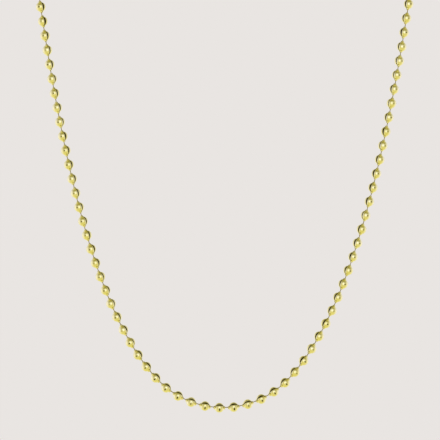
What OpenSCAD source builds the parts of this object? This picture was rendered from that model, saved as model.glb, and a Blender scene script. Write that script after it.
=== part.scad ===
// Ball chain necklace in millimetres, hanging in the form that it takes when it is worn.
// Hollow beads of thin sheet are strung on dumbbell pins, and a plain coupling at the
// nape holds the two end beads. +Z is up, and the drop hangs at the front, at -Y.
// The origin is at the nape, on the side of the coupling that lies against the neck.

/* [Chain] */
// Length of the closed loop, which is brought to a whole number of beads
chain_len = 452; // [420:1:520]
// Distance between the centres of neighbouring beads
pitch = 3.65; // [3.5:0.05:4.2]
// How far the beads have slipped round the loop, towards +X at the foot of the drop
bead_slip = -0.83; // [-1.5:0.01:1.5]

/* [Bead] */
// Outside diameter of a bead
bead_d = 2.4; // [2.2:0.05:2.6]
// Thickness of the sheet that a bead is made of
bead_wall = 0.18; // [0.14:0.01:0.22]
// Diameter of the collar round each hole, where it leaves the ball
collar_d = 1.2; // [1.1:0.05:1.3]
// How far a collar stands out past the ball
collar_out = 0.26; // [0.16:0.02:0.36]
// Thickness of a collar at its rim
collar_rim = 0.07; // [0.05:0.01:0.12]

/* [Pin] */
// Diameter of the wire between two beads
wire_d = 0.2; // [0.16:0.01:0.24]

/* [Coupling] */
// Distance between the centres of the two end beads, which the coupling holds
end_gap = 6.8; // [6:0.1:9]
// Thickness of the sheet that the coupling is rolled from
tube_wall = 0.25; // [0.2:0.05:0.4]
// Outside radius of the coupling's rounded shoulders
shoulder_r = 0.8; // [0.6:0.05:1]

/* [Drop] */
// Width between the two sides of the drop, where they go over to the neck
drop_w = 93.1; // [84:0.1:104]
// Radius of the round foot of the drop, which is as tightly as the chain bends
foot_r = 22.8; // [20:0.1:26]
// Angle that the foot turns through on either side of its lowest point
foot_turn = 47; // [40:1:52]
// Catenary size of the drop's sides, which is larger where they bend more slowly
drop_curve = 17.6; // [14:0.1:22]

/* [Neck] */
// Distance from the nape to the plane that the drop hangs in
neck_depth = 65; // [56:0.5:76]
// Height of the nape above the top of the drop
neck_rise = 36; // [28:0.5:44]
// How far each side keeps the drop's direction before it turns to the back
side_pull = 35; // [25:0.5:42]
// How far the chain keeps straight on either side of the nape before it turns to the front
nape_pull = 40; // [30:0.5:48]

/* [Fits] */
// Clear gap round the pins and their heads, and between an end bead and its seat
play = 0.12; // [0.1:0.01:0.14]
// Clear gap between an end bead and the tube round it
tube_play = 0.16; // [0.12:0.01:0.24]

/* [Hidden] */

// Sides of a round in the drawn mesh
round_fn = 48;
// Straight steps that half of the drop and one side of the neck are measured in
drop_steps = 240;
side_steps = 160;
// Halvings of the search for the drop's depth, and the depths that it looks between
search_turns = 30;
drop_least = 50;
drop_most = 250;

// The bead: its radii, the end of its collars, and the heads that share its hollow
bead_r = bead_d / 2;
hollow_r = bead_r - bead_wall;
collar_end = bead_r + collar_out;
collar_foot = sqrt(bead_r * bead_r - collar_d * collar_d / 4);
head_r = (2 * hollow_r - 3 * play) / 4;
head_seat = hollow_r - play - head_r;

// The coupling: the tube round the beads, and the end hole that an end bead seats on
tube_in_r = bead_r + tube_play;
tube_r = tube_in_r + tube_wall;
end_hole_r = collar_d / 2 + play;
end_seat = sqrt((bead_r + play) * (bead_r + play) - end_hole_r * end_hole_r);
tube_len = end_gap + 2 * (end_seat + tube_wall);
window_r = bead_r + play;
slot_w = wire_d + 2 * play;

// The loop: a whole number of pins and the coupling
pin_count = round((chain_len - end_gap) / pitch);
loop_len = pin_count * pitch + end_gap;

// The route: the coupling lies straight along X at the nape
nape_y = tube_r;
front_y = nape_y - neck_depth;
flat_half = end_gap / 2 + abs(bead_slip);

function cosh(v) = (exp(v) + exp(-v)) / 2;
function sinh(v) = (exp(v) - exp(-v)) / 2;

// Where the round foot ends, measured from its lowest point, and its slope there
foot_x = foot_r * sin(foot_turn);
foot_z = foot_r * (1 - cos(foot_turn));
foot_slope = tan(foot_turn);

// The width of the side above the foot as a number of catenary sizes
side_spread = (drop_w / 2 - foot_x) / drop_curve;

// What the side of a drop of depth h climbs for each unit of its catenary
function side_climb(h) =
    (h - foot_z - foot_slope * drop_curve * sinh(side_spread)) / (cosh(side_spread) - 1);

// The height over the lowest point, at a distance x from the middle: a round foot, and from
// its end a catenary that starts with the slope of the foot and reaches the depth h
function drop_height(x, h) =
    let (t = (x - foot_x) / drop_curve)
    t < 0 ? foot_r - sqrt(foot_r * foot_r - x * x)
    : foot_z + foot_slope * drop_curve * sinh(t) + side_climb(h) * (cosh(t) - 1);

// A point of the drop at a distance x from its middle, for a drop of depth h
function drop_point(x, h) = [x, front_y, -neck_rise - h + drop_height(x, h)];

// The direction in which the side of the drop goes up to the neck
function drop_top_way(h) =
    let (slope = foot_slope * cosh(side_spread) + side_climb(h) / drop_curve * sinh(side_spread))
    [1, 0, slope] / norm([1, 0, slope]);

// A point of the side of the neck, on one cubic curve from the drop (t = 0) to the nape
function side_point(t, h) =
    let (
        from = drop_point(drop_w / 2, h),
        to = [flat_half, nape_y, 0],
        from_pull = from + side_pull * drop_top_way(h),
        to_pull = to + [nape_pull, 0, 0],
        u = 1 - t
    )
    u * u * u * from + 3 * u * u * t * from_pull + 3 * u * t * t * to_pull + t * t * t * to;

// Half the loop as points, from the foot of the drop along +X to the nape
function half_route(h) = concat(
    [for (i = [0:drop_steps - 1]) drop_point(drop_w / 2 * i / drop_steps, h)],
    [for (i = [0:side_steps]) side_point(i / side_steps, h)],
    [[0, nape_y, 0]]
);

// The length of the route up to each of its points
function lengths(p) = [
    for (i = 0, s = 0; i < len(p); s = s + norm(p[min(i + 1, len(p) - 1)] - p[i]), i = i + 1) s
];

function half_len(h) = let (s = lengths(half_route(h))) s[len(s) - 1];

// The depth at which the loop has its length, since a longer chain hangs lower
function drop_depth(low, high, turns) =
    let (middle = (low + high) / 2)
    turns == 0 ? middle
    : 2 * half_len(middle) < loop_len ? drop_depth(middle, high, turns - 1)
    : drop_depth(low, middle, turns - 1);

drop_h = drop_depth(drop_least, drop_most, search_turns);
route = half_route(drop_h);
route_s = lengths(route);

// One coordinate of the route against the length from the foot of the drop
function along_route(axis) = [for (i = [0:len(route) - 1]) [route_s[i], route[i][axis]]];
route_x = along_route(0);
route_y = along_route(1);
route_z = along_route(2);

// The point at a length s from the foot of the drop, where s is negative on the -X side
function route_at(s) =
    [sign(s) * lookup(abs(s), route_x), lookup(abs(s), route_y), lookup(abs(s), route_z)];

// The beads: their centres, and their axes, which halve the angle between two pins
centres = [for (i = [0:pin_count]) route_at((i - pin_count / 2) * pitch + bead_slip)];
coupling_way = centres[pin_count] - centres[0];
function bead_way(i) =
    i == 0 || i == pin_count ? coupling_way : centres[i + 1] - centres[i - 1];
function pin_way(i) = centres[i + 1] - centres[i];

// The most that a pin leans from the axis of a bead, which the holes leave room for
function lean_of(a, b) = acos(min(1, abs(a * b) / norm(a) / norm(b)));
lean = max([for (i = [0:pin_count - 1])
    max(lean_of(pin_way(i), bead_way(i)), lean_of(pin_way(i), bead_way(i + 1)))]);
hole_r = wire_d / 2 / cos(lean) + collar_end * tan(lean) + play;

// Sets a shape that stands on Z at a point p, with its axis along the direction d
module aimed(p, d) {
    translate(p)
        rotate([0, acos(d.z / norm(d)), atan2(d.y, d.x)])
            children();
}

// The half plane that a profile is turned from, out to r and from -z to z
module turned_half(r, z) {
    translate([0, -z])
        square([r, 2 * z]);
}

// One bead on Z: a thin ball with a conical collar round each of its two holes
module bead() {
    rotate_extrude($fn = round_fn)
        difference() {
            union() {
                intersection() {
                    circle(bead_r, $fn = round_fn);
                    turned_half(bead_r, bead_r);
                }
                for (end = [0, 1])
                    mirror([0, end])
                        polygon([
                            [0, 0],
                            [collar_d / 2, collar_foot],
                            [hole_r + collar_rim, collar_end],
                            [0, collar_end]
                        ]);
            }
            circle(hollow_r, $fn = round_fn);
            turned_half(hole_r, collar_end + play);
        }
}

// One pin on Z: a wire with a round head in the hollow of the bead at each of its ends
module link_pin() {
    rotate_extrude($fn = round_fn)
        intersection() {
            union() {
                for (end = [-1, 1])
                    translate([0, end * (pitch / 2 - head_seat)])
                        circle(head_r, $fn = round_fn);
                turned_half(wire_d / 2, pitch / 2 - head_seat);
            }
            turned_half(bead_r, pitch / 2);
        }
}

// Half the section of a round-shouldered can, of radius r, length l and shoulders s
module can_half(r, l, s) {
    turned_half(r, l / 2 - s);
    turned_half(r - s, l / 2);
    for (end = [-1, 1])
        translate([r - s, end * (l / 2 - s)])
            circle(s, $fn = round_fn);
}

// The string of beads
module beads() {
    color([0.87, 0.82, 0.42])
        for (i = [0:pin_count])
            aimed(centres[i], bead_way(i))
                bead();
}

// The pins, each from one bead to the next
module link_pins() {
    color([0.62, 0.58, 0.38])
        for (i = [0:pin_count - 1])
            aimed((centres[i] + centres[i + 1]) / 2, pin_way(i))
                link_pin();
}

// The coupling: a rolled can, with a window at the back that a bead goes in by, and a slot
// from there to each end hole for the wire
module coupling() {
    color([0.87, 0.82, 0.42])
        aimed((centres[0] + centres[pin_count]) / 2, coupling_way)
            difference() {
                rotate_extrude($fn = round_fn)
                    difference() {
                        can_half(tube_r, tube_len, shoulder_r);
                        can_half(tube_in_r, tube_len - 2 * tube_wall, shoulder_r - tube_wall);
                        turned_half(end_hole_r, tube_len);
                    }
                rotate([-90, 0, 0])
                    cylinder(r = window_r, h = 2 * tube_r, $fn = round_fn);
                translate([-slot_w / 2, 0, -tube_len])
                    cube([slot_w, 2 * tube_r, 2 * tube_len]);
            }
}

beads();
link_pins();
coupling();
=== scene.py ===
"""Looks of the ball chain necklace: rolled beads, wire pins, the coupling, the studio and the camera.

Lengths are in metres. The solids give the places: +Z is up, and the drop hangs at the front, at -Y.
"""
import bpy
import numpy as np
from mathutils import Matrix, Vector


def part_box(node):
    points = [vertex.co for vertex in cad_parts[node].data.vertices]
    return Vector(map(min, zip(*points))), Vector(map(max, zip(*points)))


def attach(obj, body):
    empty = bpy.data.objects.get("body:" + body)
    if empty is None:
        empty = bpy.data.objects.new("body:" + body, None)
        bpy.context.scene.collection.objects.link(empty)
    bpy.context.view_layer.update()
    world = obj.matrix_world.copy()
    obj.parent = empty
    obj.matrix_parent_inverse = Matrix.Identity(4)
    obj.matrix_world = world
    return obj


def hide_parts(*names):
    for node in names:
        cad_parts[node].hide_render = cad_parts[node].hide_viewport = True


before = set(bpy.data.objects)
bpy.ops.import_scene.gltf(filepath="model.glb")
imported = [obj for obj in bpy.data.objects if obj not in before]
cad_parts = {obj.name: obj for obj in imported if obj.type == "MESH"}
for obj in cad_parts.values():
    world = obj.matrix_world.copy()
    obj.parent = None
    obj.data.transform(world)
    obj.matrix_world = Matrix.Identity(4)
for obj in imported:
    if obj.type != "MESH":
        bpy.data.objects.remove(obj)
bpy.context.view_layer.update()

MM = 0.001
DEGREE = np.pi / 180

# The bead: its ball, its hollow and the end of its collar, as in the solids
BEAD_R = 1.2 * MM
HOLLOW_R = 1.02 * MM
COLLAR_END = 1.46 * MM

# Where the collar goes over to the ball, as an angle from the bead's axis, and the hole and the rim
# round it, which are drawn closer to the wire than in the solids
COLLAR_SPREAD = 25 * DEGREE
HOLE_R = 0.28 * MM
RIM_R = 0.33 * MM

# The slit that the rolled sheet leaves from hole to hole, on the inner side of the front. The string
# is twisted a little, so that the slit turns along it, and each bead's slit sways a little
SEAM_TURN = 45 * DEGREE
SEAM_TWIST = 0.2 * DEGREE
SEAM_SWAY = 4 * DEGREE

# The slit's half width at the bead's middle and at the height where it is shut, its depth, and the
# share of its half width that slopes
SEAM_GAPE = 0.32 * MM
SEAM_SHUT = 0.08 * MM
SEAM_REACH = 1.2 * MM
SEAM_DEPTH = 0.15 * MM
SEAM_LIP = 0.4

# How far the slits stand open, as shares of the full gape: the mean, the spread, the least and most
SEAM_OPEN = 0.76
SEAM_OPEN_SWAY = 0.2
SEAM_OPEN_LEAST = 0.2
SEAM_OPEN_MOST = 1.2

# The dimple on the outer side of the front, of its own depth in each bead, from the shallowest share
# to the whole
DIMPLE_TURN = -22 * DEGREE
DIMPLE_SWAY = 3 * DEGREE
DIMPLE_REACH = 13 * DEGREE
DIMPLE_DEPTH = 0.1 * MM
DIMPLE_SHALLOWEST = 0.2

# Within so many beads of the foot, slits gape wider, and dimples are deeper and longer round the bead, which
# also makes their painted shade darker and wider
FOOT_REACH = 7
FOOT_SEAM_WIDER = 0.19
FOOT_DIMPLE_DEEPER = 0.4
FOOT_DIMPLE_LONGER = 1

# Rows of the bead's mesh: on its collar, down half of its ball as angles from its axis, and in its
# hollow
COLLAR_ROWS = 6
BALL_ROWS = np.array([29, 34, 40, 47, 54, 61, 68, 74, 79, 83, 86.5, 90]) * DEGREE
HOLLOW_ROWS = 5

# Columns of the bead's mesh: round its back, between the dimple and the seam, and over the dimple and
# the seam as shares of their reach. Near a hole, the seam takes up the widest angle at most
BACK_COLUMNS = 17
FRONT_COLUMNS = 3
DIMPLE_COLUMNS = np.array([-1, -0.5, 0, 0.5, 1])
SEAM_COLUMNS = np.array([-1, -0.78, -0.5, 0, 0.5, 0.78, 1])
SEAM_WIDEST = 42 * DEGREE

# The most that a bead leans out of line with the string, in each of two directions. The wires still
# clear its holes there
BEAD_SWAY = 1.5 * DEGREE

# What the random draws for the beads start from
BEAD_DRAW = 7

# The pins: their wire, their heads and how far the middle of a head is from the middle of its bead
WIRE_R = 0.1 * MM
HEAD_R = 0.42 * MM
HEAD_SEAT = 0.48 * MM

# Columns of the pin's mesh, and a direction that no pin runs in, from which they are counted
WIRE_ROUND = 12
PIN_SIDE = [0.3, 0.8, 0.5]

# Rows of a head's mesh: the ring at its tip and the row after it, as angles from its axis, and how
# many rows there are from that one on
HEAD_TIP = 0.02
HEAD_TOP = 0.35
HEAD_ROWS = 7

# The sheet that the coupling is rolled from
TUBE_WALL = 0.25 * MM

# Vertices of a solid that are about this near to each other are one
WELD = 0.001 * MM

# The photograph: its side in pixels, the size of a pixel at the drop, and the foot of the drop in it
PICTURE = 440
PIXEL = 0.2521 * MM
FOOT_PX = (222.6, 407.7)

# The camera: its lean, its turn to the left of the front, its distance, the width of its sensor, and
# the nearest and the farthest that it sees
ROLL = 0.37 * DEGREE
FROM_LEFT = 4.6 * DEGREE
CAMERA_AWAY = 0.6
SENSOR = 0.036
NEAREST_SEEN = 0.01
FARTHEST_SEEN = 20

# The round floor: its radius, its height and its number of sides
FLOOR_R = 2.4
FLOOR_Z = -0.34
FLOOR_SIDES = 64


def vertices_and_triangles(node):
    """The places of a node's vertices and the vertex numbers of its triangles."""
    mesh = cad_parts[node].data
    mesh.calc_loop_triangles()
    places = np.empty(len(mesh.vertices) * 3)
    mesh.vertices.foreach_get("co", places)
    corners = np.empty(len(mesh.loop_triangles) * 3, dtype=np.int64)
    mesh.loop_triangles.foreach_get("vertices", corners)
    return places.reshape(-1, 3), corners.reshape(-1, 3)


def solid_centres(node):
    """The middle of each loose solid of a node, weighted by the area of its triangles.

    Vertices at one place count as one. Each takes the least number among the triangles
    that it touches, again and again, until every solid has one number of its own.
    """
    places, triangles = vertices_and_triangles(node)
    _, same = np.unique(np.round(places / WELD).astype(np.int64), axis=0, return_inverse=True)
    corners = same.reshape(-1)[triangles]
    number = np.arange(corners.max() + 1)
    while True:
        least = number.copy()
        np.minimum.at(least, corners, number[corners].min(axis=1, keepdims=True))
        least = least[least]
        if (least == number).all():
            break
        number = least
    a, b, c = (places[triangles[:, k]] for k in range(3))
    area = np.linalg.norm(np.cross(b - a, c - a), axis=1)
    solid = np.unique(number[corners[:, 0]], return_inverse=True)[1]
    whole = np.bincount(solid, area)
    return np.stack([np.bincount(solid, area * (a + b + c)[:, k] / 3) / whole for k in range(3)], axis=1)


def in_string_order(centres, start):
    """The centres as the string runs: from the one nearest start, each next one the nearest left."""
    left = list(range(len(centres)))
    here = start
    order = []
    while left:
        nearest = min(left, key=lambda i: np.linalg.norm(centres[i] - here))
        left.remove(nearest)
        order.append(nearest)
        here = centres[nearest]
    return centres[order]


def unit(vectors):
    """Vectors brought to a length of one."""
    return vectors / np.linalg.norm(vectors, axis=-1, keepdims=True)


def carried_fronts(ways, first, front):
    """A front for each bead, square to its way: the first one's, carried both ways along the string
    with no twist, by taking away at each bead the part that lies along its way."""
    fronts = np.zeros_like(ways)
    fronts[first] = unit(front - ways[first] * (front @ ways[first]))
    for steps in (range(first + 1, len(ways)), range(first - 1, -1, -1)):
        last = fronts[first]
        for i in steps:
            last = unit(last - ways[i] * (last @ ways[i]))
            fronts[i] = last
    return fronts


def grid_faces(rows, columns, close_rows, close_columns):
    """The four-sided faces of a grid of rows and columns, which may close on themselves."""
    r = np.arange(rows if close_rows else rows - 1)[:, None]
    c = np.arange(columns if close_columns else columns - 1)[None, :]
    r_next = (r + 1) % rows
    c_next = (c + 1) % columns
    corners = [r * columns + c, r * columns + c_next, r_next * columns + c_next, r_next * columns + c]
    return np.stack([np.broadcast_to(k, (r.size, c.size)) for k in corners], axis=-1).reshape(-1, 4)


def ring_cap(first, count):
    """Four-sided faces that close a ring of vertices: each joins two neighbours to the two that lie
    across the ring from them."""
    near = first + np.arange(count // 2 - 1)
    across = 2 * first + count - 1 - near
    return np.stack([near, near + 1, across - 1, across], axis=1)


def mesh_piece(name, places, faces, finish, body="root"):
    """A smooth piece from an array of places and an array of faces, riding on a body."""
    mesh = bpy.data.meshes.new(name)
    mesh.from_pydata(places.reshape(-1, 3).tolist(), [], faces.tolist())
    mesh.polygons.foreach_set("use_smooth", np.ones(len(faces), dtype=bool))
    mesh.update()
    mesh.materials.append(finish)
    piece = bpy.data.objects.new(name, mesh)
    bpy.context.scene.collection.objects.link(piece)
    if body:
        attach(piece, body)
    return piece


def set_down(shapes, faces, centres, frames):
    """Shapes set down at their centres and turned by their frames, with the faces numbered on.
    One shape may stand for all."""
    places = np.einsum("bij,brcj->brci", frames, np.broadcast_to(shapes, (len(centres), *shapes.shape[-3:])))
    places = places + centres[:, None, None]
    count = places[0].size // 3
    numbered = faces[None] + (np.arange(len(centres)) * count)[:, None, None]
    return places, numbered.reshape(-1, faces.shape[1])


def smooth_step(share):
    """Goes from 0 to 1 with level ends, as three times the square less two times the cube."""
    share = np.clip(share, 0, 1)
    return share * share * (3 - 2 * share)


def bead_profile():
    """The closed section of a bead as (radius, height), from one hole round the outside to the other
    and back through the hollow, and how many of its points are outside. The outside is a ball whose
    distance from its middle grows towards each hole by a smooth step, which draws out a collar."""
    tip = np.arcsin(RIM_R / COLLAR_END)
    half = np.concatenate([np.linspace(tip, COLLAR_SPREAD, COLLAR_ROWS), BALL_ROWS])
    polar = np.concatenate([half, np.pi - half[-2::-1]])
    from_hole = np.minimum(polar, np.pi - polar)
    away = BEAD_R + (COLLAR_END - BEAD_R) * smooth_step((COLLAR_SPREAD - from_hole) / (COLLAR_SPREAD - tip))
    outside = np.stack([away * np.sin(polar), away * np.cos(polar)], axis=1)
    hole = np.arcsin(HOLE_R / HOLLOW_R)
    back = np.linspace(np.pi - hole, hole, HOLLOW_ROWS)
    inside = HOLLOW_R * np.stack([np.sin(back), np.cos(back)], axis=1)
    mouth = np.array([[HOLE_R, COLLAR_END]])
    return np.concatenate([outside, mouth * [1, -1], inside, mouth]), len(outside)


def between(first, last, count):
    """Evenly spaced values from first to last, without the two ends, in a new last axis."""
    share = np.arange(1, count + 1) / (count + 1)
    return first + (last - first) * share


def bead_shapes(seam_open, dimple_turn, dimple_long, dimple_deep):
    """The beads round their axes with their faces, and how far seam and dimple go in at each vertex.

    The section is turned about the axis, and the turn is measured from the seam. The seam's half
    width goes down with the square of the height, from as far as each bead's seam stands open, and
    its sides are smooth steps. The dimple is an oval hollow, as much longer round the bead as
    dimple_long says. Its depth is a smooth step of the root of two squares: the angle up from its
    middle and the angle round from it, each as a share of the oval's reach that way.
    """
    profile, outer = bead_profile()
    radius = profile[:, 0, None]
    height = profile[:, 1, None]
    gape = (SEAM_GAPE - SEAM_SHUT) * seam_open[:, None, None]
    half_width = SEAM_SHUT + gape * (1 - (height / SEAM_REACH) ** 2).clip(0)
    edge = np.minimum(half_width / radius, SEAM_WIDEST)
    dimple_middle = dimple_turn[:, None, None]
    reach_round = DIMPLE_REACH * dimple_long[:, None, None]
    dimple_turns = dimple_middle + 0 * edge + reach_round * DIMPLE_COLUMNS
    seam_turns = SEAM_COLUMNS * edge
    round_back = between(edge - 2 * np.pi, dimple_turns[..., :1], BACK_COLUMNS)
    before_seam = between(dimple_turns[..., -1:], -edge, FRONT_COLUMNS)
    turn = np.concatenate([round_back, dimple_turns, before_seam, seam_turns], axis=-1)
    seam = smooth_step((1 - np.abs(turn) / edge) / SEAM_LIP)
    ball = np.stack([radius * np.cos(turn), radius * np.sin(turn), height + 0 * turn], axis=-1)
    outward = unit(ball)
    share_up = np.arctan2(height, radius) / DIMPLE_REACH
    share_round = (turn - dimple_middle) / reach_round
    dimple = smooth_step(1 - np.sqrt(share_up ** 2 + share_round ** 2)) * dimple_deep[:, None, None]
    seam[:, outer:] = 0
    dimple[:, outer:] = 0
    shapes = ball - outward * (SEAM_DEPTH * seam + DIMPLE_DEPTH * dimple)[..., None]
    return shapes, grid_faces(*turn.shape[1:], True, True)[:, ::-1], seam, dimple


def pin_shape(pitch):
    """One pin with its faces: a wire with a round head at each end, its section turned about its
    axis. A cap closes each tip."""
    head = pitch / 2 - HEAD_SEAT
    neck = np.arcsin(WIRE_R / HEAD_R)
    polar = np.concatenate([[HEAD_TIP], np.linspace(HEAD_TOP, np.pi - neck, HEAD_ROWS)])
    end = np.stack([HEAD_R * np.sin(polar), head + HEAD_R * np.cos(polar)], axis=1)
    profile = np.concatenate([end, end[::-1] * [1, -1]])
    turn = np.linspace(0, 2 * np.pi, WIRE_ROUND, endpoint=False)
    radius = profile[:, 0, None]
    shape = np.stack([radius * np.cos(turn), radius * np.sin(turn), profile[:, 1, None] + 0 * turn], axis=-1)
    round_faces = grid_faces(len(profile), WIRE_ROUND, False, True)[:, ::-1]
    top = ring_cap(0, WIRE_ROUND)
    bottom = ring_cap((len(profile) - 1) * WIRE_ROUND, WIRE_ROUND)[:, ::-1]
    return shape, np.concatenate([round_faces, top, bottom])


class Amount:
    """A number in a set of nodes. Sums, products and powers of it add Math nodes."""

    def __init__(self, nodes, socket):
        self.nodes = nodes
        self.socket = socket

    def math(self, operation, first, second):
        return self.nodes.add("ShaderNodeMath", {"operation": operation}, {0: first, 1: second})

    def __add__(self, other):
        return self.math("ADD", self, other)

    __radd__ = __add__

    def __sub__(self, other):
        return self.math("SUBTRACT", self, other)

    def __rsub__(self, other):
        return self.math("SUBTRACT", other, self)

    def __mul__(self, other):
        return self.math("MULTIPLY", self, other)

    __rmul__ = __mul__

    def __truediv__(self, other):
        return self.math("DIVIDE", self, other)

    def __pow__(self, other):
        return self.math("POWER", self, other)

    def at_least(self, other):
        """The larger of the two."""
        return self.math("MAXIMUM", self, other)

    def clamped(self):
        """The amount held between 0 and 1."""
        return self.nodes.add("ShaderNodeClamp", {}, {"Value": self})


class Nodes:
    """The nodes of one material, or of the surroundings."""

    def __init__(self, tree):
        self.tree = tree
        self.tree.nodes.clear()

    def add(self, kind, settings, inputs, output=0):
        """Adds a node, makes its settings first, then links or sets its inputs, and gives one output
        if it has any."""
        node = self.tree.nodes.new(kind)
        for key, value in settings.items():
            setattr(node, key, value)
        for key, value in inputs.items():
            if isinstance(value, Amount):
                self.tree.links.new(value.socket, node.inputs[key])
            else:
                node.inputs[key].default_value = value
        return Amount(self, node.outputs[output] if node.outputs else None)

    def place(self):
        """The place on the piece."""
        return self.add("ShaderNodeTexCoord", {}, {}, "Object")

    def parts(self, vector):
        """The X, Y and Z of a vector."""
        return [self.add("ShaderNodeSeparateXYZ", {}, {"Vector": vector}, k) for k in range(3)]

    def noise(self, size, place, detail=2):
        """A soft random shade between 0 and 1 that changes over about the given size, with finer
        shades in it up to the given detail."""
        settings = {"noise_dimensions": "3D"}
        inputs = {"Vector": place, "Scale": 1 / size, "Detail": detail}
        return self.add("ShaderNodeTexNoise", settings, inputs)

    def attribute(self, name):
        """A number that the mesh holds at each vertex."""
        return self.add("ShaderNodeAttribute", {"attribute_name": name}, {}, "Fac")

    def mix(self, share, low, high):
        """A colour that goes from low to high with the share. The node takes the two colours in its
        inputs 6 and 7 and gives the mixed one as its output 2."""
        return self.add("ShaderNodeMix", {"data_type": "RGBA"}, {"Factor": share, 6: low, 7: high}, 2)

    def bump(self, depth, height):
        """The direction that a surface faces where it is uneven."""
        return self.add("ShaderNodeBump", {}, {"Strength": 1.0, "Distance": depth, "Height": height})

    def end_in_metal(self, colour, rough, **more):
        """Gives the material a metal surface."""
        inputs = {"Base Color": colour, "Metallic": 1.0, "Roughness": rough, **more}
        surface = self.add("ShaderNodeBsdfPrincipled", {}, inputs)
        self.add("ShaderNodeOutputMaterial", {}, {"Surface": surface})


def new_finish(name):
    """An empty material and its nodes."""
    material = bpy.data.materials.new(name)
    material.use_nodes = True
    return material, Nodes(material.node_tree)


def linear(red, green, blue):
    """A colour given by its 0 to 255 display values, as the linear values that sockets hold. The
    display curve is a straight line near black, and above it a power of the raised share."""
    share = np.array([red, green, blue]) / 255
    value = np.where(share <= 0.04045, share / 12.92, ((share + 0.055) / 1.055) ** 2.4)
    return (*value.tolist(), 1.0)


LEMON_GOLD = linear(250, 243, 175)
DEEP_GOLD = linear(245, 235, 144)
# The colour of the painted shade in the beads' slits and dimples and inside the coupling
PAINTED_SHADE_GOLD = linear(58, 49, 6)
WIRE_GOLD = linear(176, 160, 38)
WIRE_BROWN = linear(126, 107, 14)
PALE_STUDIO = linear(233, 229, 226)

# The soft lights round the necklace as its metal sees them: where each stands, how narrow it is,
# and its colour at its brightness
LIGHTS = {
    "window": ((0, -1, 0.12), 6, (0.76, 0.84, 1.85)),
    "table": ((0, 0, -1), 1, (0.29, 0.29, 0.32)),
    "left_wall": ((-1, 0.4, 0), 3, (0.46, 0.5, 1.5)),
    "right_wall": ((1, 0.4, 0), 3, (0.42, 0.46, 1.3)),
    "back_wall": ((0, 1, 0), 2, (0.24, 0.23, 0.16)),
}

# The room behind the lights, and how much darker than its walls the middle of its ceiling is
WARM_ROOM = (0.545, 0.497, 0.145, 1.0)
CEILING_SHADE = 0.4

# The beads' finish: the sizes of its slow changes of tone, its scuffs and its swells, how much of the
# slow changes and of each bead's own tone is in its colour, less a start, and how deep it is uneven
BEAD_SLOW = 2 * MM
BEAD_SCUFF = 0.4 * MM
BEAD_SWELL = 0.9 * MM
SLOW_SHARE = 0.6
TONE_SHARE = 0.5
SHARE_START = 0.1
BEAD_UNEVEN = 0.03 * MM
SCUFF_HEIGHT = 0.15

# How strongly painted shade darkens the seam's slit and the dimple, where 1 is the full colour of the painted
# shade, and how dark the painted shade inside the coupling goes
SEAM_PAINTED_SHADE = 1.4
DIMPLE_PAINTED_SHADE = 1.7
INSIDE_PAINTED_SHADE = 0.75

# The coupling's finish: the sizes of its marks, its slow changes and its scuffs, how slowly the marks
# change along it, how deep it is uneven and how much of that the slow changes are
COUPLING_MARK = 0.08 * MM
COUPLING_SLOW = 2.5 * MM
COUPLING_SCUFF = 0.5 * MM
MARK_ALONG = 0.06
COUPLING_UNEVEN = 0.006 * MM
SLOW_HEIGHT = 3

# The painted shade of the coupling's inside: how soft its edge is, how many times that it laps into the wall,
# how far short of the ends it stops and how soft it is there
INSIDE_SHADE_EDGE = 0.05 * MM
INSIDE_SHADE_LAP = 1.5
INSIDE_SHADE_SHORT = 0.32 * MM
INSIDE_SHADE_END = 0.1 * MM

# The size of the streaks of the wire
WIRE_STREAK = 0.25 * MM

# How rough each metal is, and how much its scuffs, marks, streaks and places of painted shade add
BEAD_ROUGH = 0.14
BEAD_SCUFF_ROUGH = 0.1
COUPLING_ROUGH = 0.13
COUPLING_SCUFF_ROUGH = 0.12
MARK_ROUGH = 0.06
PAINTED_SHADE_ROUGH = 0.25
WIRE_ROUGH = 0.3
STREAK_ROUGH = 0.15


def bead_gold():
    """Polished pale gold: slow changes of tone, each bead a little apart, soft scuffs in the
    roughness, a fine unevenness of the sheet, and painted shade that darkens the seam and the dimple,
    which are rougher too."""
    gold, nodes = new_finish("bead_gold")
    place = nodes.place()
    seam = nodes.attribute("seam")
    dimple = nodes.attribute("dimple")
    tone = nodes.attribute("bead_tone")
    slow = nodes.noise(BEAD_SLOW, place)
    scuff = nodes.noise(BEAD_SCUFF, place, detail=3)
    swell = nodes.noise(BEAD_SWELL, place, detail=1)
    deep = (slow * SLOW_SHARE + tone * TONE_SHARE - SHARE_START).clamped()
    # Painted shade: the slit and the dimple go towards the dark painted shade colour, where shade falls in
    # them
    painted_shade = (seam * SEAM_PAINTED_SHADE + dimple * DIMPLE_PAINTED_SHADE).clamped()
    colour = nodes.mix(painted_shade, nodes.mix(deep, LEMON_GOLD, DEEP_GOLD), PAINTED_SHADE_GOLD)
    rough = BEAD_ROUGH + scuff * BEAD_SCUFF_ROUGH + painted_shade * PAINTED_SHADE_ROUGH
    nodes.end_in_metal(colour, rough, Normal=nodes.bump(BEAD_UNEVEN, swell + scuff * SCUFF_HEIGHT))
    return gold


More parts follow.
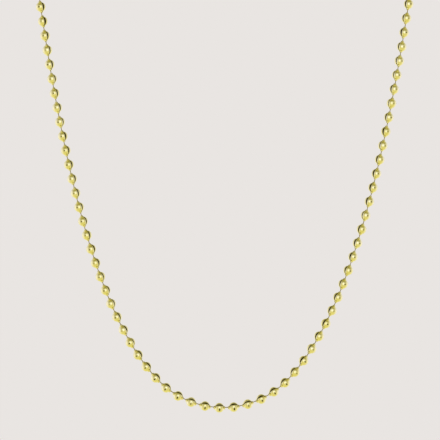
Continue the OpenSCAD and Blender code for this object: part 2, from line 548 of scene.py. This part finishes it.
def coupling_gold(middle, half_length, radius):
    """Polished sheet, rolled into a tube: fine marks run along it, scuffs make it rougher in patches, and
    painted shade darkens its inside, which is nearer its middle line than its wall and short of its ends."""
    gold, nodes = new_finish("coupling_gold")
    place = nodes.place()
    across, back, up = nodes.parts(place)
    out = ((back - middle[1]) ** 2 + (up - middle[2]) ** 2) ** 0.5
    along = nodes.add("ShaderNodeMath", {"operation": "ABSOLUTE"}, {0: across - middle[0]})
    # Painted shade inside the tube, where shade falls: it grows from the wall towards the middle line and
    # stops short of the ends
    shade_within = ((radius - TUBE_WALL - out) / INSIDE_SHADE_EDGE + INSIDE_SHADE_LAP).clamped()
    inside = shade_within * ((half_length - INSIDE_SHADE_SHORT - along) / INSIDE_SHADE_END).clamped()
    drawn_out = nodes.add("ShaderNodeCombineXYZ", {}, {"X": across * MARK_ALONG, "Y": back, "Z": up})
    mark = nodes.noise(COUPLING_MARK, drawn_out)
    slow = nodes.noise(COUPLING_SLOW, place)
    scuff = nodes.noise(COUPLING_SCUFF, place, detail=3)
    base = nodes.mix(slow, LEMON_GOLD, DEEP_GOLD)
    colour = nodes.mix(inside * INSIDE_PAINTED_SHADE, base, PAINTED_SHADE_GOLD)
    rough = COUPLING_ROUGH + scuff * COUPLING_SCUFF_ROUGH + mark * MARK_ROUGH + inside * PAINTED_SHADE_ROUGH
    nodes.end_in_metal(colour, rough, Normal=nodes.bump(COUPLING_UNEVEN, mark + slow * SLOW_HEIGHT + scuff))
    return gold


def pin_gold():
    """Drawn wire, thinly plated: duller and browner than the beads, with fine streaks."""
    wire, nodes = new_finish("pin_gold")
    streak = nodes.noise(WIRE_STREAK, nodes.place())
    nodes.end_in_metal(nodes.mix(streak, WIRE_GOLD, WIRE_BROWN), WIRE_ROUGH + streak * STREAK_ROUGH)
    return wire


def studio_paper():
    """Pale paper that is lit evenly, so that it gives its own colour."""
    paper, nodes = new_finish("studio_paper")
    light = nodes.add("ShaderNodeEmission", {}, {"Color": PALE_STUDIO, "Strength": 1.0})
    nodes.add("ShaderNodeOutputMaterial", {}, {"Surface": light})
    return paper


def make_camera(foot):
    """The camera, before the drop and a little to its left, so that the drop's foot, scale and lean
    are the photo's."""
    way = np.array([np.sin(FROM_LEFT), np.cos(FROM_LEFT), 0])
    side = np.array([np.cos(FROM_LEFT), -np.sin(FROM_LEFT), 0])
    right = side * np.cos(ROLL) + np.array([0, 0, np.sin(ROLL)])
    up = np.cross(right, way)
    foot_right, foot_down = np.array(FOOT_PX) - PICTURE / 2
    aim = foot - PIXEL * (foot_right * right - foot_down * up)
    data = bpy.data.cameras.new("camera")
    sensor_mm = SENSOR * 1000
    data.sensor_width = sensor_mm
    data.lens = sensor_mm * CAMERA_AWAY / (PICTURE * PIXEL)
    data.clip_start = NEAREST_SEEN
    data.clip_end = FARTHEST_SEEN
    camera = bpy.data.objects.new("camera", data)
    turned = np.eye(4)
    turned[:3] = np.stack([right, up, -way, aim - way * CAMERA_AWAY], axis=1)
    # Blender takes the matrix column by column
    camera.matrix_world = turned.T
    bpy.context.scene.collection.objects.link(camera)
    bpy.context.scene.camera = camera


def make_surroundings():
    """Pale surroundings to the eye. The metal sees a warm room, which darkens towards its ceiling with
    the height of the direction looked in, and the soft lights in it: each one's share is a power of
    the cosine between its own direction and the one looked in."""
    world = bpy.data.worlds.new("pale_surroundings")
    bpy.context.scene.world = world
    world.use_nodes = True
    nodes = Nodes(world.node_tree)
    way = nodes.add("ShaderNodeTexCoord", {}, {}, "Generated")
    x, y, z = nodes.parts(way)
    shaded = 1 - CEILING_SHADE * z.at_least(0)
    felt = nodes.add("ShaderNodeBackground", {}, {"Color": WARM_ROOM, "Strength": shaded})
    for stand, narrow, colour in LIGHTS.values():
        to_x, to_y, to_z = unit(np.array(stand)).tolist()
        share = (x * to_x + y * to_y + z * to_z).at_least(0) ** narrow
        light = nodes.add("ShaderNodeBackground", {}, {"Color": (*colour, 1.0), "Strength": share})
        felt = nodes.add("ShaderNodeAddShader", {}, {0: felt, 1: light})
    seen = nodes.add("ShaderNodeBackground", {}, {"Color": PALE_STUDIO, "Strength": 1.0})
    to_eye = nodes.add("ShaderNodeLightPath", {}, {}, "Is Camera Ray")
    both = nodes.add("ShaderNodeMixShader", {}, {0: to_eye, 1: felt, 2: seen})
    nodes.add("ShaderNodeOutputWorld", {}, {"Surface": both})


def make_floor():
    """A round pale floor under the necklace."""
    turn = np.linspace(0, 2 * np.pi, FLOOR_SIDES, endpoint=False)
    rim = FLOOR_R * np.stack([np.cos(turn), np.sin(turn), 0 * turn], axis=1) + [0, 0, FLOOR_Z]
    floor = mesh_piece("floor", rim, np.arange(FLOOR_SIDES)[None], studio_paper(), body=None)
    floor.visible_glossy = False


def add_attribute(piece, name, values):
    """Stores one number for each vertex of a piece, under a name that its material reads."""
    layer = piece.data.attributes.new(name, "FLOAT", "POINT")
    layer.data.foreach_set("value", np.ascontiguousarray(values, dtype=np.float32).reshape(-1))


def make_beads(centres, ways, fronts, lowest, finish):
    """The string of beads as two pieces, the left and the right half of the loop.

    How near a bead is to the foot goes down as a bell curve: e to the power of minus the square of
    its number from the lowest bead over the foot's reach. Tones, turns, depths, gapes and leans are
    random draws, whose order is kept.
    """
    count = len(centres)
    draw = np.random.default_rng(BEAD_DRAW)
    seam_turn = SEAM_TURN + SEAM_TWIST * (np.arange(count) - lowest) + SEAM_SWAY * draw.standard_normal(count)
    dimple_turn = DIMPLE_TURN + DIMPLE_SWAY * draw.standard_normal(count) - seam_turn
    tone = draw.uniform(0, 1, count)
    near_foot = np.exp(-((np.arange(count) - lowest) / FOOT_REACH) ** 2)
    dimple_long = 1 + FOOT_DIMPLE_LONGER * near_foot
    deep = draw.uniform(DIMPLE_SHALLOWEST, 1, count) + FOOT_DIMPLE_DEEPER * near_foot
    seam_open = SEAM_OPEN + FOOT_SEAM_WIDER * near_foot + SEAM_OPEN_SWAY * draw.standard_normal(count)
    seam_open = seam_open.clip(SEAM_OPEN_LEAST, SEAM_OPEN_MOST)
    sway = BEAD_SWAY * draw.standard_normal((count, 2)).clip(-1, 1)
    inner = np.cross(fronts, ways)
    ways = unit(ways + sway[:, :1] * fronts + sway[:, 1:] * inner)
    seam_way = fronts * np.cos(seam_turn)[:, None] + inner * np.sin(seam_turn)[:, None]
    seam_way = unit(seam_way - ways * (seam_way * ways).sum(axis=1, keepdims=True))
    frames = np.stack([seam_way, np.cross(seam_way, ways), -ways], axis=-1)
    shapes, faces, seam, dimple = bead_shapes(seam_open, dimple_turn, dimple_long, deep)
    half = count // 2
    for name, part in (("beads_left", slice(0, half)), ("beads_right", slice(half, count))):
        places, numbered = set_down(shapes[part], faces, centres[part], frames[part])
        piece = mesh_piece(name, places, numbered, finish)
        # The seam and dimple shares also set where the finish lays its painted shade
        add_attribute(piece, "seam", seam[part])
        add_attribute(piece, "dimple", dimple[part])
        add_attribute(piece, "bead_tone", tone[part, None, None] + 0 * seam[part])
        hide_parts("beads")


def make_pins(centres, finish):
    """The pins, each from one bead to the next."""
    ways = unit(np.diff(centres, axis=0))
    side = unit(np.cross(ways, PIN_SIDE))
    frames = np.stack([side, np.cross(ways, side), ways], axis=-1)
    pitch = np.linalg.norm(np.diff(centres, axis=0), axis=1).mean()
    shape, faces = pin_shape(pitch)
    places, numbered = set_down(shape, faces, (centres[1:] + centres[:-1]) / 2, frames)
    piece = mesh_piece("link_wires", places, numbered, finish)
    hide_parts("link_pins")


coupling_low, coupling_high = (np.array(corner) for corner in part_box("coupling"))
coupling_middle = (coupling_low + coupling_high) / 2
coupling_end = coupling_middle - [(coupling_high - coupling_low)[0] / 2, 0, 0]
centres = in_string_order(solid_centres("beads"), coupling_end)
ways = np.empty_like(centres)
ways[1:-1] = centres[2:] - centres[:-2]
ways[[0, -1]] = centres[0] - centres[-1]
ways = unit(ways)
lowest = int(np.argmin(centres[:, 2]))
fronts = carried_fronts(ways, lowest, np.array([0.0, -1.0, 0.0]))

make_beads(centres, ways, fronts, lowest, bead_gold())
make_pins(centres, pin_gold())
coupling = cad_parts["coupling"]
coupling.data.materials.clear()
tube_half, _, tube_radius = ((coupling_high - coupling_low) / 2).tolist()
coupling.data.materials.append(coupling_gold(coupling_middle.tolist(), tube_half, tube_radius))
make_floor()
make_surroundings()
make_camera(np.array([0, centres[lowest, 1], centres[lowest, 2]]))
bpy.context.scene.view_settings.view_transform = "Standard"
